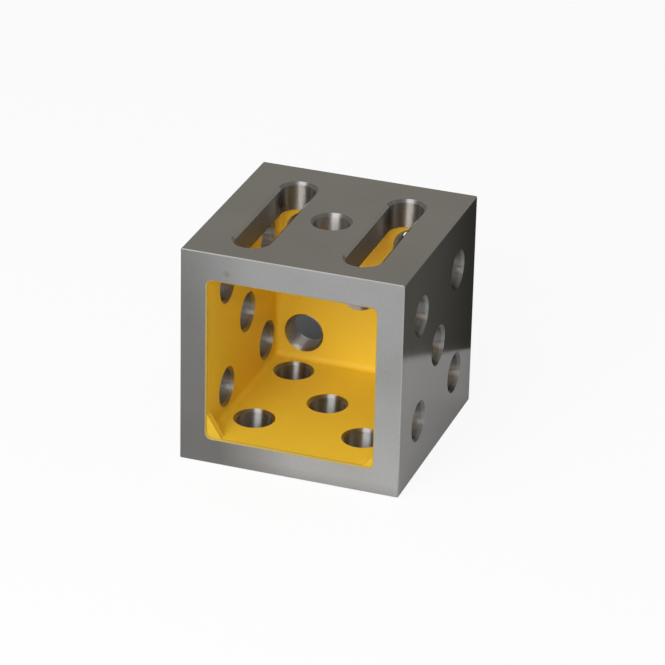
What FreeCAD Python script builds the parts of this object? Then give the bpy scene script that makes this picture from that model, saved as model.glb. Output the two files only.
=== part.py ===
# Riser block: a hollow cube of cast iron that lifts work or a fixture off a machine table.
# It is one casting. Five walls stand round a hollow that is open at the front, and the six outer faces
# are ground square to each other, so that the block can stand on any of them.
# Both sides, the bottom and the back carry the same five clearance bores: one in the middle and four
# round it. The top has one bore in the middle, between two clamp slots.
# Frame: millimetres, X to the right, Y from the open front to the back, Z up.
# The origin is the middle of the bottom face, which the block stands on.
import FreeCAD, Part
import math
import os
import Sketcher

NODE = "riser_block"

# Each driving size in millimetres, and what it measures.
SIZES = [
    ("block_width", 100, "left face to right face"),
    ("block_depth", 100, "open front face to back face"),
    ("block_height", 100, "bottom face to top face"),
    ("side_wall", 12, "thickness of the left and right walls"),
    ("floor_wall", 12, "thickness of the bottom wall"),
    ("top_wall", 13, "thickness of the slotted top wall"),
    ("back_wall", 12, "thickness of the back wall"),
    ("core_radius", 2.5, "radius that the core leaves in the corners of the hollow"),
    ("mouth_break", 0.6, "chamfer round the open mouth"),
    ("edge_break", 0.4, "chamfer along the twelve outer edges"),
    ("hole_bore", 16, "diameter of a bore, which clears a 14 mm bolt"),
    ("hole_inset", 25, "outer face to the nearest row of bores"),
    ("hole_break", 1.25, "chamfer on the rims of the bores and slots"),
    ("slot_width", 15.5, "clamp slot, side to side"),
    ("slot_inset", 25, "side face to the middle line of a slot"),
    ("slot_front_land", 12, "front face to the front end of a slot"),
    ("slot_back_land", 15.75, "back end of a slot to the back face"),
    ("web_recess", 1, "front face to the front of a corner web"),
    ("web_thickness", 3.5, "corner web, front to back"),
    ("left_web_width", 6.8, "lower left corner web, along the floor"),
    ("left_web_height", 11, "lower left corner web, up the wall"),
    ("right_web_width", 4.3, "lower right corner web, along the floor"),
    ("right_web_height", 5.3, "lower right corner web, up the wall"),
]

# Lengths that several features share, as expressions on the sheet of sizes.
HALF_WIDTH = "(Sizes.block_width / 2)"
HALF_DEPTH = "(Sizes.block_depth / 2)"
HALF_HEIGHT = "(Sizes.block_height / 2)"
HOLLOW_HALF_WIDTH = f"({HALF_WIDTH} - Sizes.side_wall)"
HOLLOW_HEIGHT = "(Sizes.block_height - Sizes.floor_wall - Sizes.top_wall)"

TOLERANCE = 1e-4
SHEET_ORIGIN = (-1, 1)
VERTICAL_AXIS = -2
START, END, CENTRE = range(1, 4)

doc = FreeCAD.newDocument(NODE)
sheet = doc.addObject("Spreadsheet::Sheet", "Sizes")
for row, (alias, value, meaning) in enumerate(SIZES, start=1):
    sheet.set(f"A{row}", alias)
    sheet.set(f"B{row}", str(value))
    sheet.setAlias(f"B{row}", alias)
    sheet.set(f"C{row}", meaning)
doc.recompute()

body = doc.addObject("PartDesign::Body", "Block")
body.Label = NODE


def length_of(expression):
    """What an expression on the sheet of sizes comes to, in millimetres."""
    return float(body.evalExpression(expression))


def own_plane(role):
    """One of the block's own base planes: XY_Plane, XZ_Plane or YZ_Plane."""
    return next(item for item in body.Origin.OriginFeatures if item.Role == role)


# Sketches

def new_sketch(name, role, lift):
    """A sketch on a base plane, lifted along the plane's normal."""
    sketch = body.newObject("Sketcher::SketchObject", name)
    sketch.AttachmentSupport = (own_plane(role), [""])
    sketch.MapMode = "FlatFace"
    sketch.setExpression("AttachmentOffset.Base.z", lift)
    return sketch


def relate(sketch, kind, *where):
    """Adds a constraint that has no size."""
    sketch.addConstraint(Sketcher.Constraint(kind, *where))


def drive(sketch, name, kind, *where, size):
    """Adds a dimension and binds it to an expression on the sheet of sizes."""
    index = sketch.addConstraint(Sketcher.Constraint(kind, *where, length_of(size)))
    sketch.renameConstraint(index, name)
    sketch.setExpression(f"Constraints.{name}", size)


def draw_outline(sketch, corners):
    """Straight lines from corner to corner and back to the first. Returns the numbers of the lines."""
    first = sketch.GeometryCount
    points = [FreeCAD.Vector(x, y, 0) for x, y in corners]
    for start, end in zip(points, points[1:] + points[:1]):
        sketch.addGeometry(Part.LineSegment(start, end))
    for step in range(len(points)):
        after = first + (step + 1) % len(points)
        relate(sketch, "Coincident", first + step, END, after, START)
    return range(first, sketch.GeometryCount)


def draw_rectangle(sketch, left, low, across, up):
    """A rectangle, given by its lower left corner and its two sides."""
    x0, y0 = length_of(left), length_of(low)
    x1, y1 = x0 + length_of(across), y0 + length_of(up)
    bottom, right, top, left_side = draw_outline(sketch, [(x0, y0), (x1, y0), (x1, y1), (x0, y1)])
    for side in (bottom, top):
        relate(sketch, "Horizontal", side)
    for side in (right, left_side):
        relate(sketch, "Vertical", side)
    drive(sketch, "left", "DistanceX", *SHEET_ORIGIN, bottom, START, size=left)
    drive(sketch, "low", "DistanceY", *SHEET_ORIGIN, bottom, START, size=low)
    drive(sketch, "across", "DistanceX", bottom, START, bottom, END, size=across)
    drive(sketch, "up", "DistanceY", right, START, right, END, size=up)


def draw_five_bores(sketch, middle, across, up):
    """A bore in the middle of a face and four round it, each hole_inset from the face's two borders."""
    x = length_of(f"{across} / 2 - Sizes.hole_inset")
    y = length_of(f"{up} / 2 - Sizes.hole_inset")
    centre_y = length_of(middle)
    places = [(0, 0), (-x, -y), (x, -y), (-x, y), (x, y)]
    for place_x, place_y in places:
        place = FreeCAD.Vector(place_x, centre_y + place_y, 0)
        sketch.addGeometry(Part.Circle(place, FreeCAD.Vector(0, 0, 1), length_of("Sizes.hole_bore / 2")))
    centre, low_left, low_right, high_left, high_right = range(len(places))
    relate(sketch, "PointOnObject", centre, CENTRE, VERTICAL_AXIS)
    relate(sketch, "Symmetric", low_left, CENTRE, high_right, CENTRE, centre, CENTRE)
    relate(sketch, "Symmetric", low_right, CENTRE, high_left, CENTRE, centre, CENTRE)
    relate(sketch, "Horizontal", low_left, CENTRE, low_right, CENTRE)
    relate(sketch, "Vertical", low_left, CENTRE, high_left, CENTRE)
    for bore in (low_left, low_right, high_left, high_right):
        relate(sketch, "Equal", centre, bore)
    drive(sketch, "middle", "DistanceY", *SHEET_ORIGIN, centre, CENTRE, size=middle)
    drive(sketch, "across", "DistanceX", low_left, CENTRE, low_right, CENTRE,
          size=f"{across} - 2 * Sizes.hole_inset")
    drive(sketch, "up", "DistanceY", low_left, CENTRE, high_left, CENTRE,
          size=f"{up} - 2 * Sizes.hole_inset")
    drive(sketch, "bore", "Diameter", centre, size="Sizes.hole_bore")


def draw_slot(sketch, middle, front, back, width):
    """A slot along the sketch's vertical, from the middle of one round end to the middle of the other."""
    x, y0, y1, radius = (length_of(size) for size in (middle, front, back, f"{width} / 2"))
    up = FreeCAD.Vector(0, 0, 1)
    far_circle = Part.Circle(FreeCAD.Vector(x, y1, 0), up, radius)
    near_circle = Part.Circle(FreeCAD.Vector(x, y0, 0), up, radius)
    far_end = sketch.addGeometry(Part.ArcOfCircle(far_circle, 0, math.pi))
    near_end = sketch.addGeometry(Part.ArcOfCircle(near_circle, math.pi, 2 * math.pi))
    left = sketch.addGeometry(Part.LineSegment(FreeCAD.Vector(x - radius, y1, 0),
                                               FreeCAD.Vector(x - radius, y0, 0)))
    right = sketch.addGeometry(Part.LineSegment(FreeCAD.Vector(x + radius, y0, 0),
                                                FreeCAD.Vector(x + radius, y1, 0)))
    relate(sketch, "Tangent", far_end, END, left, START)
    relate(sketch, "Tangent", left, END, near_end, START)
    relate(sketch, "Tangent", near_end, END, right, START)
    relate(sketch, "Tangent", right, END, far_end, START)
    relate(sketch, "Vertical", left)
    relate(sketch, "Equal", far_end, near_end)
    drive(sketch, "middle", "DistanceX", *SHEET_ORIGIN, far_end, CENTRE, size=middle)
    drive(sketch, "front", "DistanceY", *SHEET_ORIGIN, near_end, CENTRE, size=front)
    drive(sketch, "back", "DistanceY", *SHEET_ORIGIN, far_end, CENTRE, size=back)
    drive(sketch, "width", "Diameter", far_end, size=width)


def draw_corner_web(sketch, side, width, height):
    """A triangle in a lower corner of the hollow: side is -1 for the left corner and 1 for the right."""
    corner_x = length_of(f"{side} * {HOLLOW_HALF_WIDTH}")
    corner_y = length_of("Sizes.floor_wall")
    toe_x = corner_x - side * length_of(width)
    head_y = corner_y + length_of(height)
    floor, _, wall = draw_outline(sketch, [(corner_x, corner_y), (toe_x, corner_y), (corner_x, head_y)])
    name = "left" if side < 0 else "right"
    toe, heel = ((START, END) if side < 0 else (END, START))
    relate(sketch, "Horizontal", floor)
    relate(sketch, "Vertical", wall)
    drive(sketch, f"{name}_corner", "DistanceX", *SHEET_ORIGIN, floor, START,
          size=f"{side} * {HOLLOW_HALF_WIDTH}")
    drive(sketch, f"{name}_floor", "DistanceY", *SHEET_ORIGIN, floor, START, size="Sizes.floor_wall")
    drive(sketch, f"{name}_width", "DistanceX", floor, toe, floor, heel, size=width)
    drive(sketch, f"{name}_height", "DistanceY", wall, END, wall, START, size=height)


# Features

def pad(sketch, name, length, reverse=False):
    """Adds metal along the sketch's normal, or against it."""
    feature = body.newObject("PartDesign::Pad", name)
    feature.Profile = (sketch, [""])
    feature.Reversed = reverse
    feature.setExpression("Length", length)
    doc.recompute()
    return feature


def cut(sketch, name, depth=None, reverse=False):
    """Cuts against the sketch's normal, or along it: to a depth, or through everything."""
    before = body.Shape.Volume
    feature = body.newObject("PartDesign::Pocket", name)
    feature.Profile = (sketch, [""])
    feature.Reversed = reverse
    if depth is None:
        feature.Type = "ThroughAll"
    else:
        feature.setExpression("Length", depth)
    doc.recompute()
    if feature.Shape.Volume > before - TOLERANCE:
        raise RuntimeError(f"{name} cuts no metal")
    return feature


def break_edges(kind, name, base, edges, size):
    """Rounds or chamfers the named edges of the feature before it."""
    if not edges:
        raise RuntimeError(f"{name} finds no edge")
    feature = body.newObject(f"PartDesign::{kind}", name)
    feature.Base = (base, edges)
    feature.setExpression("Radius" if kind == "Fillet" else "Size", size)
    doc.recompute()
    return feature


def edge_names(feature, wanted):
    """The names of a feature's edges that pass a test."""
    edges = enumerate(feature.Shape.Edges, start=1)
    return [f"Edge{number}" for number, edge in edges if wanted(edge)]


def in_front_face(edge):
    """True for an edge that lies in the front face."""
    return abs(edge.CenterOfMass.y + length_of(HALF_DEPTH)) < TOLERANCE


def borders_hollow(edge):
    """True for an edge of the hollow, from its mouth to its back wall."""
    middle = edge.CenterOfMass
    low = length_of("Sizes.floor_wall") - TOLERANCE
    high = low + length_of(HOLLOW_HEIGHT) + 2 * TOLERANCE
    across = length_of(HOLLOW_HALF_WIDTH) + TOLERANCE
    return abs(middle.x) < across and low < middle.z < high


def has_flat_room(shape, rim, room):
    """True where a rim has that much flat wall all round it, so that a chamfer stays on the flat."""
    faces = shape.ancestorsOfType(rim, Part.Face)
    flats = [face for face in faces if face.Surface.TypeId == "Part::GeomPlane"]
    others = [edge for face in flats for edge in face.Edges if not edge.isSame(rim)]
    return bool(others) and min(rim.distToShape(other)[0] for other in others) > room


def is_rim_to_break(shape, edge):
    """True for a round bore rim with flat wall round it, and for the ends of a slot in the top face."""
    if edge.Degenerated or edge.Curve.TypeId != "Part::GeomCircle":
        return False
    radius = edge.Curve.Radius
    if edge.isClosed() and abs(radius - length_of("Sizes.hole_bore / 2")) < TOLERANCE:
        return has_flat_room(shape, edge, length_of("Sizes.hole_break"))
    in_top_face = abs(edge.CenterOfMass.z - length_of("Sizes.block_height")) < TOLERANCE
    return in_top_face and abs(radius - length_of("Sizes.slot_width / 2")) < TOLERANCE


# The casting: a cube with its outer edges broken, hollowed from the front, with round inner corners.

cube_sketch = new_sketch("CubeSketch", "XY_Plane", "0")
draw_rectangle(cube_sketch, f"-{HALF_WIDTH}", f"-{HALF_DEPTH}", "Sizes.block_width", "Sizes.block_depth")
cube = pad(cube_sketch, "Cube", "Sizes.block_height")
outer_edges = break_edges("Chamfer", "OuterEdges", cube, edge_names(cube, lambda edge: True),
                          "Sizes.edge_break")

hollow_sketch = new_sketch("HollowSketch", "XZ_Plane", HALF_DEPTH)
draw_rectangle(hollow_sketch, f"-{HOLLOW_HALF_WIDTH}", "Sizes.floor_wall",
               f"2 * {HOLLOW_HALF_WIDTH}", HOLLOW_HEIGHT)
hollow = cut(hollow_sketch, "Hollow", "Sizes.block_depth - Sizes.back_wall")
corners = edge_names(hollow, lambda edge: borders_hollow(edge) and not in_front_face(edge))
core_corners = break_edges("Fillet", "CoreCorners", hollow, corners, "Sizes.core_radius")
mouth = edge_names(core_corners, lambda edge: borders_hollow(edge) and in_front_face(edge))
mouth_edge = break_edges("Chamfer", "MouthEdge", core_corners, mouth, "Sizes.mouth_break")

web_sketch = new_sketch("WebSketch", "XZ_Plane", f"{HALF_DEPTH} - Sizes.web_recess")
draw_corner_web(web_sketch, -1, "Sizes.left_web_width", "Sizes.left_web_height")
draw_corner_web(web_sketch, 1, "Sizes.right_web_width", "Sizes.right_web_height")
pad(web_sketch, "CornerWebs", "Sizes.web_thickness", reverse=True)

# The bores. A drill goes through its wall and clear of the corner radius behind it.

side_sketch = new_sketch("SideSketch", "YZ_Plane", HALF_WIDTH)
draw_five_bores(side_sketch, HALF_HEIGHT, "Sizes.block_depth", "Sizes.block_height")
cut(side_sketch, "SideBores")

floor_sketch = new_sketch("FloorSketch", "XY_Plane", "0")
draw_five_bores(floor_sketch, "0", "Sizes.block_width", "Sizes.block_depth")
cut(floor_sketch, "FloorBores", "Sizes.floor_wall + Sizes.core_radius", reverse=True)

back_sketch = new_sketch("BackSketch", "XZ_Plane", f"-{HALF_DEPTH}")
draw_five_bores(back_sketch, HALF_HEIGHT, "Sizes.block_width", "Sizes.block_height")
cut(back_sketch, "BackBores", "Sizes.back_wall + Sizes.core_radius", reverse=True)

top_sketch = new_sketch("TopSketch", "XY_Plane", "Sizes.block_height")
top_sketch.addGeometry(Part.Circle(FreeCAD.Vector(0, 0, 0), FreeCAD.Vector(0, 0, 1),
                                   length_of("Sizes.hole_bore / 2")))
relate(top_sketch, "Coincident", 0, CENTRE, *SHEET_ORIGIN)
drive(top_sketch, "bore", "Diameter", 0, size="Sizes.hole_bore")
cut(top_sketch, "TopBore", "Sizes.top_wall + Sizes.core_radius")

# The clamp slots: the left one is milled, and the right one is its mirror image.

slot_sketch = new_sketch("SlotSketch", "XY_Plane", "Sizes.block_height")
draw_slot(slot_sketch, f"Sizes.slot_inset - {HALF_WIDTH}",
          f"Sizes.slot_front_land + Sizes.slot_width / 2 - {HALF_DEPTH}",
          f"{HALF_DEPTH} - Sizes.slot_back_land - Sizes.slot_width / 2", "Sizes.slot_width")
left_slot = cut(slot_sketch, "LeftSlot", "Sizes.top_wall + Sizes.core_radius")
right_slot = body.newObject("PartDesign::Mirrored", "RightSlot")
right_slot.Originals = [left_slot]
right_slot.MirrorPlane = (own_plane("YZ_Plane"), [""])
body.Tip = right_slot
doc.recompute()

rims = edge_names(right_slot, lambda edge: is_rim_to_break(right_slot.Shape, edge))
break_edges("Chamfer", "Rims", right_slot, rims, "Sizes.hole_break")

# The finished block is checked before it is written.

for item in doc.Objects:
    if "Invalid" in item.State or "Error" in item.State:
        raise RuntimeError(f"{item.Name} failed: {item.State}")
block = body.Shape
if block.isNull() or not block.isValid() or len(block.Solids) != 1:
    raise RuntimeError("the block isn't one valid solid")

os.makedirs("parts", exist_ok=True)
block.exportStep(f"parts/{body.Label}.step")
box = block.BoundBox
print(f"{body.Label}: {box.XLength:.2f} x {box.YLength:.2f} x {box.ZLength:.2f} mm,"
      f" {block.Volume / 1000:.1f} cm3, {len(block.Faces)} faces, {len(rims)} rims broken")
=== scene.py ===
# %% [markdown]
# A riser block lifts work or a fixture off a machine table. It is one casting of grey iron: five walls round
# a hollow that is open at the front, bored and slotted for clamp bolts. Its outside is ground bright, its
# hollow is enamelled yellow, and its bores are cut after the paint, so that they are bare again.
# The shape is exact already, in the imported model. This script gives it its finishes, its light and a camera.

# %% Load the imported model
import math

import bmesh
import bpy
from mathutils import Matrix, Vector


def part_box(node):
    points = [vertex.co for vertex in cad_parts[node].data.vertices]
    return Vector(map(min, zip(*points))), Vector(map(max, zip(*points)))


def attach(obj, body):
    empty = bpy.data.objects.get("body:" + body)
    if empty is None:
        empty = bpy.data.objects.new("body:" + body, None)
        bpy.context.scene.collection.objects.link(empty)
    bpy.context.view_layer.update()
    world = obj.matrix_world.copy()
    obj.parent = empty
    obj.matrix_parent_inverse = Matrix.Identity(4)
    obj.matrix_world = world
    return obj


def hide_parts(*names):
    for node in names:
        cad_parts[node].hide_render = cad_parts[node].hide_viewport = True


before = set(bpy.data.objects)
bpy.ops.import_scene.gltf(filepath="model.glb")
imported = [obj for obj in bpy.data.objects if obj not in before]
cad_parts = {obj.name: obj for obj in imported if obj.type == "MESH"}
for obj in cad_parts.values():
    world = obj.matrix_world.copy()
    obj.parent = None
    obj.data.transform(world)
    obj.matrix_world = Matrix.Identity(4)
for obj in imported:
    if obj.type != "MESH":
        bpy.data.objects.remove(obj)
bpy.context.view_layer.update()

NODE = "riser_block"
MM = 0.001

low, high = (Vector(corner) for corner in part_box(NODE))
middle = (low + high) / 2
print("block from", [round(value / MM, 2) for value in low], "to", [round(value / MM, 2) for value in high])

# %% [markdown]
# The camera stands to the right of the open front and looks down on the block, so that the hollow, the
# slotted top and the right side all show. A long lens from far away keeps the upright edges almost upright.
# Its place could be set by hand with the block in view. It was worked out from the block's corners instead,
# which makes it exact, and it leaves the picture turned by a little over a degree, as a held camera does.

# %% Set up the camera
CAMERA_PLACE = Vector((0.4702, -1.3625, 0.7493))
CAMERA_AZIMUTH = math.radians(18.98)
CAMERA_ELEVATION = math.radians(25.98)
CAMERA_ROLL = math.radians(1.33)
CAMERA_LENS = 198.84
SENSOR_WIDTH = 36
SEEN_TO = 20

lens = bpy.data.cameras.new("camera")
lens.lens = CAMERA_LENS
lens.sensor_width = SENSOR_WIDTH
lens.clip_end = SEEN_TO
camera = bpy.data.objects.new("camera", lens)
bpy.context.collection.objects.link(camera)
camera.matrix_world = (Matrix.Translation(CAMERA_PLACE)
                       @ Matrix.Rotation(CAMERA_AZIMUTH, 4, "Z")
                       @ Matrix.Rotation(math.pi / 2 - CAMERA_ELEVATION, 4, "X")
                       @ Matrix.Rotation(CAMERA_ROLL, 4, "Z"))
bpy.context.scene.camera = camera
bpy.context.scene.view_settings.view_transform = "Standard"
print("camera is", round((CAMERA_PLACE - middle).length, 3), "m from the middle of the block")

# %% [markdown]
# A material is a small net of nodes, and the same few steps come back in each: a node is added, some of its
# sockets get values and others get links. Writing that out each time hides what the material does. So one
# short helper makes a node and fills its sockets, and the finishes below read as a list of their layers.


# %% Helpers for the materials
NOISE_TINT = (0.35, 0.65)
NOISE_UNEVEN = (0.3, 0.7)


def new_material(name):
    """A material with an empty net of nodes, and that net."""
    material = bpy.data.materials.new(name)
    material.use_nodes = True
    material.node_tree.nodes.clear()
    return material, material.node_tree


def add(net, kind, settings=None, **sockets):
    """Adds a node. A socket's name has _ for a space, or is at_ and its number."""
    node = net.nodes.new(kind)
    for name, value in (settings or {}).items():
        setattr(node, name, value)
    for name, value in sockets.items():
        if name.startswith("at_"):
            socket = node.inputs[int(name[3:])]
        else:
            socket = node.inputs[name.replace("_", " ")]
        if isinstance(value, bpy.types.NodeSocket):
            net.links.new(value, socket)
        else:
            socket.default_value = value
    return node


def object_place(net):
    """The place on the piece in its own metres."""
    return add(net, "ShaderNodeTexCoord").outputs["Object"]


def noise(net, place, scale, detail=2.0, roughness=0.5):
    """Cloudy noise, with so many lumps to the metre."""
    node = add(net, "ShaderNodeTexNoise", Vector=place, Scale=scale, Detail=detail, Roughness=roughness)
    return node.outputs["Fac"]


def spread(net, value, from_low, from_high, to_low, to_high):
    """Maps a range of values onto another, and stops at its ends."""
    node = add(net, "ShaderNodeMapRange", Value=value, From_Min=from_low, From_Max=from_high,
               To_Min=to_low, To_Max=to_high)
    return node.outputs["Result"]


def tint(net, value, dark, light):
    """A colour between two, by noise. Noise stays near its middle, so only that part of it is used."""
    return blend(net, spread(net, value, *NOISE_TINT, 0.0, 1.0), dark, light)


def uneven(net, value, smooth, rough):
    """A roughness between two, by noise."""
    return spread(net, value, *NOISE_UNEVEN, smooth, rough)


def maths(net, what, first, second=0.0):
    """One step of arithmetic."""
    return add(net, "ShaderNodeMath", {"operation": what}, at_0=first, at_1=second).outputs[0]


def blend(net, amount, first, second):
    """Mixes two colours."""
    node = net.nodes.new("ShaderNodeMix")
    node.data_type = "RGBA"
    for socket, value in ((node.inputs[0], amount), (node.inputs[6], first), (node.inputs[7], second)):
        if isinstance(value, bpy.types.NodeSocket):
            net.links.new(value, socket)
        else:
            socket.default_value = value
    return node.outputs[2]


def grey(level):
    """A neutral colour."""
    return (level, level, level, 1.0)


# %% [markdown]
# The block stands on a pale floor that runs on past the picture. For the camera it is almost white, except
# close behind the block. There the floor keeps the real shadow that the block throws, and its colour is also
# painted dark, a painted shade that shows through the low left bore of the back wall. The iron mirrors the
# floor too. The rims in the photograph show that it was lightest close to the block and on the right of the
# open front, so what is mirrored has its own tones. More lamps could do the same, but they would also light
# the hollow unevenly.

# %% Lay the floor
FLOOR_REACH = 4.0
FLOOR_PALE = 0.93
MIRRORED_NEAR = (1.10, 1.14, 1.20, 1.0)
MIRRORED_FAR = (0.82, 0.84, 0.87, 1.0)
MIRRORED_NEAR_Y = -0.06
MIRRORED_FAR_Y = -0.16
MIRRORED_ON_LEFT = (0.445, 0.450, 0.460, 1.0)
MIRRORED_ON_RIGHT = (0.70, 0.70, 0.70, 1.0)
LIGHT_EDGE_PLACE = Vector((-0.020, -0.063, 0.0))
LIGHT_EDGE_TURN = math.radians(64)
LIGHT_EDGE_SOFTNESS = 0.015
LIGHT_ENDS_AT_Y = -0.045
FLOOR_TO_CAMERA = 0.9
# The colour of the painted shade on the floor close behind the block.
FLOOR_PAINTED_SHADE = 0.14
SHADE_LEAN = 0.344
SHADE_MIDDLE = -0.006
SHADE_SIDES = (0.036, 0.052)
SHADE_START = (0.040, 0.060)
SHADE_END = (0.110, 0.150)


def shade_behind(net, place):
    """1 on the floor close behind the block, where the block hides it from the camera, and 0 outside."""
    axes = add(net, "ShaderNodeSeparateXYZ", Vector=place)
    across, back = axes.outputs["X"], axes.outputs["Y"]
    from_middle = maths(net, "ADD", across, maths(net, "MULTIPLY", back, SHADE_LEAN))
    from_middle = maths(net, "SUBTRACT", from_middle, SHADE_LEAN * high.y + SHADE_MIDDLE)
    within = spread(net, maths(net, "ABSOLUTE", from_middle), *SHADE_SIDES, 1.0, 0.0)
    past_start = spread(net, back, *SHADE_START, 0.0, 1.0)
    before_end = spread(net, back, *SHADE_END, 1.0, 0.0)
    return maths(net, "MULTIPLY", within, maths(net, "MULTIPLY", past_start, before_end))


def floor_material():
    """Near white for the camera, with a painted shade close behind the block, and its own soft tones for what
    the iron mirrors.
    """
    material, net = new_material("pale_floor")
    place = object_place(net)
    turned = add(net, "ShaderNodeMapping", {"vector_type": "TEXTURE"}, Vector=place,
                 Location=LIGHT_EDGE_PLACE, Rotation=(0, 0, LIGHT_EDGE_TURN)).outputs[0]
    leftwards = add(net, "ShaderNodeSeparateXYZ", Vector=turned).outputs["Y"]
    backwards = add(net, "ShaderNodeSeparateXYZ", Vector=place).outputs["Y"]
    right = spread(net, leftwards, -LIGHT_EDGE_SOFTNESS, LIGHT_EDGE_SOFTNESS, 1.0, 0.0)
    front = spread(net, backwards, LIGHT_ENDS_AT_Y - LIGHT_EDGE_SOFTNESS, LIGHT_ENDS_AT_Y, 1.0, 0.0)
    far = spread(net, backwards, MIRRORED_FAR_Y, MIRRORED_NEAR_Y, 1.0, 0.0)
    mirrored = blend(net, far, MIRRORED_NEAR, MIRRORED_FAR)
    mirrored = blend(net, front, MIRRORED_ON_RIGHT, mirrored)
    mirrored = blend(net, right, MIRRORED_ON_LEFT, mirrored)
    light_path = add(net, "ShaderNodeLightPath")
    shade = shade_behind(net, place)
    # Close behind the block the floor's colour is painted dark, a painted shade on top of its real shadow.
    seen = blend(net, shade, grey(FLOOR_PALE), grey(FLOOR_PAINTED_SHADE))
    tone = blend(net, light_path.outputs["Is Glossy Ray"], seen, mirrored)
    matt = add(net, "ShaderNodeBsdfDiffuse", Color=tone).outputs[0]
    white = add(net, "ShaderNodeEmission", Color=grey(1.0), Strength=1.0).outputs[0]
    amount = spread(net, shade, 0.0, 1.0, FLOOR_TO_CAMERA, 0.0)
    amount = maths(net, "MULTIPLY", light_path.outputs["Is Camera Ray"], amount)
    shader = add(net, "ShaderNodeMixShader", at_0=amount, at_1=matt, at_2=white).outputs[0]
    add(net, "ShaderNodeOutputMaterial", Surface=shader)
    return material


def mesh_object(name, build, materials):
    """Runs a bmesh recipe and links what it makes as an object at the origin."""
    shape = bmesh.new()
    build(shape)
    mesh = bpy.data.meshes.new(name)
    shape.to_mesh(mesh)
    shape.free()
    for material in materials:
        mesh.materials.append(material)
    piece = bpy.data.objects.new(name, mesh)
    bpy.context.collection.objects.link(piece)
    return piece


floor = mesh_object(
    "floor",
    lambda shape: bmesh.ops.create_grid(shape, x_segments=1, y_segments=1, size=FLOOR_REACH),
    [floor_material()])
print("floor", FLOOR_REACH * 2, "m across")

# %% [markdown]
# Smooth iron looks like what stands round it. The upper half of the right side mirrors something dark behind
# the block, with a clear lower edge, and the lower half mirrors the light floor. A small dark card does the
# same here. Its material is clear to the camera and to the light, so that it only shows in mirrored rays.

# %% Stand a dark card where the right side mirrors it
CARD_NEAR_FOOT = Vector((0.1067, 0.0651, 0.0))
CARD_FAR_FOOT = Vector((0.0466, 0.1146, 0.0))
CARD_HEIGHT = 0.11
CARD_LIGHT_PLACE = 0.086
CARD_DARK_PLACE = 0.066
CARD_LIGHT = 0.115
CARD_DARK = 0.045
CARD_COLOUR = (1.0, 0.96, 0.85, 1.0)


def card_material():
    """Dark in mirrored rays, and clear in all others."""
    material, net = new_material("dark_card")
    across = add(net, "ShaderNodeSeparateXYZ", Vector=object_place(net)).outputs["X"]
    level = spread(net, across, CARD_DARK_PLACE, CARD_LIGHT_PLACE, CARD_DARK, CARD_LIGHT)
    dark = add(net, "ShaderNodeEmission", Color=CARD_COLOUR, Strength=level).outputs[0]
    clear = add(net, "ShaderNodeBsdfTransparent").outputs[0]
    mirrored = add(net, "ShaderNodeLightPath").outputs["Is Glossy Ray"]
    shader = add(net, "ShaderNodeMixShader", at_0=mirrored, at_1=clear, at_2=dark).outputs[0]
    add(net, "ShaderNodeOutputMaterial", Surface=shader)
    return material


def stand_card(shape):
    """An upright card between its two feet."""
    feet = [shape.verts.new(place) for place in (CARD_NEAR_FOOT, CARD_FAR_FOOT)]
    foot = shape.edges.new(feet)
    raised = bmesh.ops.extrude_edge_only(shape, edges=[foot])
    tops = [item for item in raised["geom"] if isinstance(item, bmesh.types.BMVert)]
    bmesh.ops.translate(shape, verts=tops, vec=(0, 0, CARD_HEIGHT))


card = mesh_object("dark_card", stand_card, [card_material()])
print("card", round((CARD_FAR_FOOT - CARD_NEAR_FOOT).length / MM), "mm wide,", CARD_HEIGHT / MM, "mm high")

# %% [markdown]
# The light is plain and soft. A wide lamp hangs in front of the block, a little to its left: the bores show
# where, because each has one bright streak down its wall. A second one hangs high in front, where the broken
# edges of the top mirror it. The sky gives the rest. The camera sees a white sky and mirrored rays see a grey
# one, because the ground top is an even mid grey in the photograph.

# %% Hang the lamps and set the sky
LAMP_DISTANCE = 1.3
FRONT_AZIMUTH = math.radians(-5)
FRONT_ELEVATION = math.radians(26)
FRONT_WIDTH = 1.0
FRONT_HEIGHT = 0.75
FRONT_POWER = 13.0
UPPER_AZIMUTH = math.radians(-20)
UPPER_ELEVATION = math.radians(62)
UPPER_WIDTH = 1.3
UPPER_HEIGHT = 0.9
UPPER_POWER = 3.0
SKY_TO_CAMERA = (1.0, 1.0, 1.0, 1.0)
SKY_MIRRORED = (0.362, 0.347, 0.318, 1.0)
SKY_LIGHT = (0.37, 0.37, 0.37, 1.0)


def hang_lamp(name, azimuth, elevation, width, height, power):
    """A wide soft lamp that faces the middle of the block. Azimuth 0 is straight in front of it."""
    lamp = bpy.data.lights.new(name, "AREA")
    lamp.shape = "RECTANGLE"
    lamp.size = width
    lamp.size_y = height
    lamp.energy = power
    away = Vector((math.sin(azimuth) * math.cos(elevation), -math.cos(azimuth) * math.cos(elevation),
                   math.sin(elevation)))
    item = bpy.data.objects.new(name, lamp)
    item.location = middle + away * LAMP_DISTANCE
    item.rotation_euler = away.to_track_quat("Z", "Y").to_euler()
    bpy.context.collection.objects.link(item)


def set_sky():
    """White for the camera, grey for mirrored rays, and a soft light for all others."""
    world = bpy.data.worlds.new("studio")
    world.use_nodes = True
    net = world.node_tree
    net.nodes.clear()
    path = add(net, "ShaderNodeLightPath")
    level = blend(net, path.outputs["Is Glossy Ray"], SKY_LIGHT, SKY_MIRRORED)
    level = blend(net, path.outputs["Is Camera Ray"], level, SKY_TO_CAMERA)
    background = add(net, "ShaderNodeBackground", Color=level, Strength=1.0).outputs[0]
    add(net, "ShaderNodeOutputWorld", Surface=background)
    bpy.context.scene.world = world


hang_lamp("front_lamp", FRONT_AZIMUTH, FRONT_ELEVATION, FRONT_WIDTH, FRONT_HEIGHT, FRONT_POWER)
hang_lamp("upper_lamp", UPPER_AZIMUTH, UPPER_ELEVATION, UPPER_WIDTH, UPPER_HEIGHT, UPPER_POWER)
set_sky()
print("lamps of", FRONT_POWER, "and", UPPER_POWER, "W at", LAMP_DISTANCE, "m")

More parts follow.
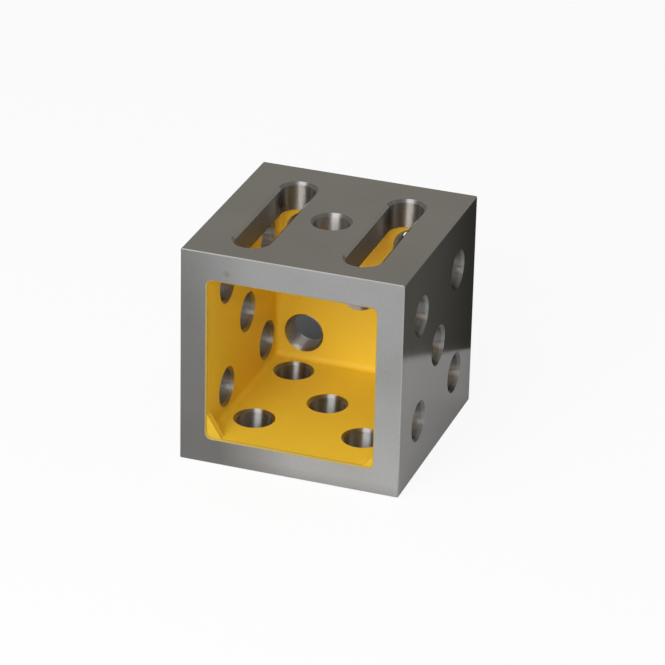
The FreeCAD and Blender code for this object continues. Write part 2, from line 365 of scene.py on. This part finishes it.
# %% [markdown]
# Cut metal carries the marks of its tool: straight lines from the grinding wheel on the outside, and rings
# from the drill in a bore. Light spreads across such marks and not along them. Both depend on one direction,
# so each face of the block will carry it in an attribute named across, and the metal's nodes read it there.

# %% Helpers for cut metal
ACROSS = "across"
MARKS_TO_METRE = 2600.0
MARK_LENGTH_SHARE = 0.012
PORE_REACH = (0.08, 0.22)


def across_marks(net):
    """The direction across the tool's marks, which each face carries."""
    return add(net, "ShaderNodeAttribute", {"attribute_name": ACROSS}).outputs["Vector"]


def tool_marks(net, place, across):
    """Noise that is fine across the marks and drawn out along them."""
    along = add(net, "ShaderNodeVectorMath", {"operation": "DOT_PRODUCT"}, at_0=place, at_1=across)
    fine = add(net, "ShaderNodeVectorMath", {"operation": "SCALE"}, at_0=across,
               Scale=along.outputs["Value"]).outputs[0]
    drawn = add(net, "ShaderNodeVectorMath", {"operation": "SCALE"}, at_0=place,
                Scale=MARK_LENGTH_SHARE).outputs[0]
    place = add(net, "ShaderNodeVectorMath", {"operation": "ADD"}, at_0=fine, at_1=drawn).outputs[0]
    return noise(net, place, MARKS_TO_METRE, detail=3.0, roughness=0.6)


def pits(net, place, scale, share):
    """Small round pores, 1 in their middle. Only a share of the cells of the pattern has one."""
    cells = add(net, "ShaderNodeTexVoronoi", Vector=place, Scale=scale)
    chance = add(net, "ShaderNodeSeparateColor", Color=cells.outputs["Color"]).outputs[0]
    chosen = maths(net, "LESS_THAN", chance, share)
    round_spot = spread(net, cells.outputs["Distance"], *PORE_REACH, 1.0, 0.0)
    return maths(net, "MULTIPLY", chosen, round_spot)


def bump(net, height, depth, normal=None):
    """Bends the normal as if the surface had this height, times the depth in metres."""
    sockets = {"Height": height, "Distance": depth, "Strength": 1.0}
    if normal is not None:
        sockets["Normal"] = normal
    return add(net, "ShaderNodeBump", **sockets).outputs[0]


print("marks of about", round(1 / MARKS_TO_METRE / MM, 2), "mm")

# %% [markdown]
# The outside is ground: an even mid grey that mirrors its surroundings softly. Grey iron is full of graphite
# flakes, so close up it is mottled and has small open pores, and handling leaves it a little cloudy. A metal
# shader gives the mirror, and noise in its colour, roughness and height gives the rest. The front also has one
# mark of its own, a small soft smudge above the hollow's top left corner, so its place is given.

# %% Mix the ground iron
IRON_LIGHT = (0.448, 0.442, 0.429, 1.0)
IRON_DARK = (0.392, 0.382, 0.364, 1.0)
IRON_PIT = (0.10, 0.095, 0.09, 1.0)
GROUND_ROUGHNESS = (0.10, 0.14)
GROUND_MOTTLES = 900.0
GROUND_CLOUDS = 28.0
GROUND_MARKS = 0.25
GROUND_RELIEF = 0.02 * MM
PORE_CELLS = 700.0
PORE_SHARE = 0.008
PORE_STRENGTH = 0.6
SMUDGE_PLACE = Vector((-0.0290, low.y, 0.0915))
SMUDGE_RADIUS = 1.9 * MM
SMUDGE_STRENGTH = 0.35


def ground_iron():
    """Ground grey iron, with fine straight marks, graphite mottling and pores."""
    material, net = new_material("ground_iron")
    place = object_place(net)
    across = across_marks(net)
    marks = tool_marks(net, place, across)
    mottling = noise(net, place, GROUND_MOTTLES, detail=4.0, roughness=0.65)
    clouds = noise(net, place, GROUND_CLOUDS, detail=3.0)
    pores = pits(net, place, PORE_CELLS, PORE_SHARE)
    tone = maths(net, "ADD", maths(net, "MULTIPLY", mottling, 0.5), maths(net, "MULTIPLY", clouds, 0.5))
    colour = tint(net, tone, IRON_DARK, IRON_LIGHT)
    from_smudge = add(net, "ShaderNodeVectorMath", {"operation": "DISTANCE"}, at_0=place,
                      at_1=SMUDGE_PLACE).outputs["Value"]
    smudge = spread(net, from_smudge, 0.0, SMUDGE_RADIUS, SMUDGE_STRENGTH, 0.0)
    dirt = maths(net, "MAXIMUM", smudge, maths(net, "MULTIPLY", pores, PORE_STRENGTH))
    colour = blend(net, dirt, colour, IRON_PIT)
    roughness = uneven(net, clouds, *GROUND_ROUGHNESS)
    height = maths(net, "SUBTRACT", maths(net, "MULTIPLY", marks, GROUND_MARKS), pores)
    normal = bump(net, height, GROUND_RELIEF)
    iron = add(net, "ShaderNodeBsdfPrincipled", Base_Color=colour, Metallic=1.0, Roughness=roughness,
               Normal=normal).outputs[0]
    add(net, "ShaderNodeOutputMaterial", Surface=iron)
    return material


# %% [markdown]
# A drill leaves rings round the wall of its bore, so the wall mirrors the lamp as one long streak. Real rings
# are far finer than a pixel. The metal shader's anisotropy does the same thing without them: its tangent is
# the bore's own direction, along which the streak is drawn out. A few coarser rings are added as height.
# The slots' walls get the same marks from the side of a milling cutter. They are the same shader with a darker
# and browner pair of colours: a painted shade, with a painted reflection of the yellow hollow in its brown.

# %% Mix the bored and the milled iron
BORED_LIGHT = (0.47, 0.467, 0.463, 1.0)
BORED_DARK = (0.345, 0.342, 0.337, 1.0)
# The milled pair is darker and browner than the bored pair: painted shade and a painted reflection of the
# yellow hollow.
MILLED_PAINTED_SHADE_LIGHT = (0.35, 0.341, 0.325, 1.0)
MILLED_PAINTED_SHADE_DARK = (0.252, 0.241, 0.222, 1.0)
CUT_ROUGHNESS = (0.42, 0.48)
CUT_ANISOTROPY = 1.0
CUT_MOTTLES = 700.0
CUT_RELIEF = 0.012 * MM


def cut_iron(name, light, dark):
    """Drilled or milled iron. Anisotropy draws out what it mirrors across the tool's marks."""
    material, net = new_material(name)
    place = object_place(net)
    across = across_marks(net)
    marks = tool_marks(net, place, across)
    mottling = noise(net, place, CUT_MOTTLES, detail=3.0, roughness=0.6)
    tone = maths(net, "ADD", maths(net, "MULTIPLY", mottling, 0.4), maths(net, "MULTIPLY", marks, 0.6))
    colour = tint(net, tone, dark, light)
    roughness = uneven(net, marks, *CUT_ROUGHNESS)
    normal = bump(net, marks, CUT_RELIEF)
    iron = add(net, "ShaderNodeBsdfPrincipled", Base_Color=colour, Metallic=1.0, Roughness=roughness,
               Normal=normal, Tangent=across, Anisotropic=CUT_ANISOTROPY).outputs[0]
    add(net, "ShaderNodeOutputMaterial", Surface=iron)
    return material


# %% [markdown]
# The hollow is enamelled golden yellow straight on the sand-cast skin. The coat is thick and dull, it shows
# the unevenness of the casting under it, and it has the fine skin of sprayed paint. At the mouth the front was
# ground after painting, so the coat ends there in a thin worn line. Just behind that line the coat is painted
# a deeper yellow, a painted shade that tones down the light on the front of the hollow. The fronts of the two
# small webs lie in that strip.

# %% Mix the yellow enamel
ENAMEL_LIGHT = (0.85, 0.575, 0.038, 1.0)
ENAMEL_DEEP = (0.83, 0.540, 0.036, 1.0)
ENAMEL_WORN = (0.36, 0.29, 0.10, 1.0)
ENAMEL_PAINTED_SHADE = (0.66, 0.41, 0.010, 1.0)
ENAMEL_ROUGHNESS = (0.50, 0.60)
ENAMEL_SHINE = 0.35
CASTING_WAVES = 75.0
CASTING_RELIEF = 0.35 * MM
SKIN_GRAINS = 620.0
SKIN_RELIEF = 0.03 * MM
ENAMEL_CLOUDS = 22.0
MOUTH_WEAR = 0.9 * MM
WEAR_RAGGED = -0.4 * MM
WEAR_STRENGTH = 0.95
PAINTED_SHADE_DEPTH = (1.1 * MM, 2 * MM)


def yellow_enamel():
    """Dull enamel on the cast skin, worn thin along the mouth."""
    material, net = new_material("yellow_enamel")
    place = object_place(net)
    waves = noise(net, place, CASTING_WAVES)
    skin = noise(net, place, SKIN_GRAINS)
    clouds = noise(net, place, ENAMEL_CLOUDS, detail=3.0)
    tone = maths(net, "ADD", maths(net, "MULTIPLY", clouds, 0.7), maths(net, "MULTIPLY", skin, 0.3))
    colour = tint(net, tone, ENAMEL_DEEP, ENAMEL_LIGHT)
    depth = add(net, "ShaderNodeSeparateXYZ", Vector=place).outputs["Y"]
    ragged = maths(net, "ADD", depth, maths(net, "MULTIPLY", skin, WEAR_RAGGED))
    # A strip just behind the mouth is painted a deeper yellow, a painted shade over the light on the front of
    # the hollow.
    painted_shade = spread(net, depth, low.y + PAINTED_SHADE_DEPTH[0], low.y + PAINTED_SHADE_DEPTH[1], 1.0, 0.0)
    colour = blend(net, painted_shade, colour, ENAMEL_PAINTED_SHADE)
    worn = spread(net, ragged, low.y, low.y + MOUTH_WEAR, WEAR_STRENGTH, 0.0)
    colour = blend(net, worn, colour, ENAMEL_WORN)
    roughness = uneven(net, clouds, *ENAMEL_ROUGHNESS)
    casting = bump(net, waves, CASTING_RELIEF)
    normal = bump(net, skin, SKIN_RELIEF, normal=casting)
    enamel = add(net, "ShaderNodeBsdfPrincipled", Base_Color=colour, Roughness=roughness,
                 Specular_IOR_Level=ENAMEL_SHINE, Normal=normal).outputs[0]
    add(net, "ShaderNodeOutputMaterial", Surface=enamel)
    return material


# %% [markdown]
# The four finishes lie on one casting, so they are four materials on one mesh. They could be four meshes,
# but then the edges between them would be open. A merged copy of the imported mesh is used, and each of its
# faces is sorted by where it lies: inside the hollow, on the outside, in a slot, or else in a bore. The long
# chamfers of the slots look as even as the ground sides, so they are dressed as ground too.

# %% Dress the block
SIDE_WALL = 12 * MM
FLOOR_WALL = 12 * MM
TOP_WALL = 13 * MM
BACK_WALL = 12 * MM
MOUTH_BREAK = 0.6 * MM
EDGE_BREAK = 0.4 * MM
TOUCH = 0.01 * MM
MERGE = 0.001 * MM
SMOOTH_ANGLE = math.radians(30)
LONG_EDGE = 20 * MM
SLANT = 0.1
SLOT_BEGINS = 12 * MM
GROUND, ENAMEL, BORED, MILLED = range(4)
X, Y, Z = (Vector(direction) for direction in ((1, 0, 0), (0, 1, 0), (0, 0, 1)))

hollow_low = Vector((low.x + SIDE_WALL, low.y, low.z + FLOOR_WALL))
hollow_high = Vector((high.x - SIDE_WALL, high.y - BACK_WALL, high.z - TOP_WALL))


def inside(place, corner, other, room):
    """True for a place within a box, or no further outside it than the room."""
    return all(corner[i] - room < place[i] < other[i] + room for i in range(3))


def outer_sides(place, reach):
    """How many of the block's six sides lie within reach of a place."""
    return sum(min(place[i] - low[i], high[i] - place[i]) < reach for i in range(3))


def finish_of(face):
    """Which finish a face has, by where it lies."""
    place = face.calc_center_median()
    at_mouth = place.y < low.y + MOUTH_BREAK and abs(face.normal.y) < 1 - TOUCH
    if inside(place, hollow_low, hollow_high, MOUTH_BREAK if at_mouth else TOUCH):
        return ENAMEL
    if outer_sides(place, TOUCH) or outer_sides(place, EDGE_BREAK) > 1:
        return GROUND
    if abs(face.normal.dot(bore_direction(place))) > SLANT:
        is_long = max(edge.calc_length() for edge in face.edges) > LONG_EDGE
        return GROUND if is_long else BORED
    in_slot = place.z > hollow_high.z and abs(place.x - middle.x) > SLOT_BEGINS
    return MILLED if in_slot else BORED


def bore_direction(place):
    """The direction of the bore or slot that a place lies in, which is that of its wall's thickness."""
    if place.z < hollow_low.z or place.z > hollow_high.z:
        return Z
    return Y if place.y > hollow_high.y else X


def direction_of(face, finish):
    """The direction across the tool's marks: along a bore, and up or back over a ground side."""
    if finish in (BORED, MILLED):
        return bore_direction(face.calc_center_median())
    return Y if abs(face.normal.z) > abs(face.normal.x) + abs(face.normal.y) else Z


def dress(shape):
    """Merges the loose triangles, then gives each face its finish and its direction."""
    shape.from_mesh(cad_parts[NODE].data)
    bmesh.ops.remove_doubles(shape, verts=shape.verts, dist=MERGE)
    across = shape.faces.layers.float_vector.new(ACROSS)
    for face in shape.faces:
        face.smooth = True
        face.material_index = finish_of(face)
        face[across] = direction_of(face, face.material_index)
    for edge in shape.edges:
        edge.smooth = edge.calc_face_angle(0.0) < SMOOTH_ANGLE


# The milled iron's darker pair of colours is painted shade and painted reflection.
finishes = [ground_iron(), yellow_enamel(),
            cut_iron("bored_iron", BORED_LIGHT, BORED_DARK),
            cut_iron("milled_iron_painted_shade", MILLED_PAINTED_SHADE_LIGHT, MILLED_PAINTED_SHADE_DARK)]
block = mesh_object("block_dressed", dress, finishes)
even = block.modifiers.new("even_normals", "WEIGHTED_NORMAL")
even.keep_sharp = True
even.weight = 100
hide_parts(NODE)
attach(block, "root")
areas = [0.0] * len(finishes)
for polygon in block.data.polygons:
    areas[polygon.material_index] += polygon.area
print("ground, enamelled, bored and milled:", [round(area * 1e4, 1) for area in areas], "cm2")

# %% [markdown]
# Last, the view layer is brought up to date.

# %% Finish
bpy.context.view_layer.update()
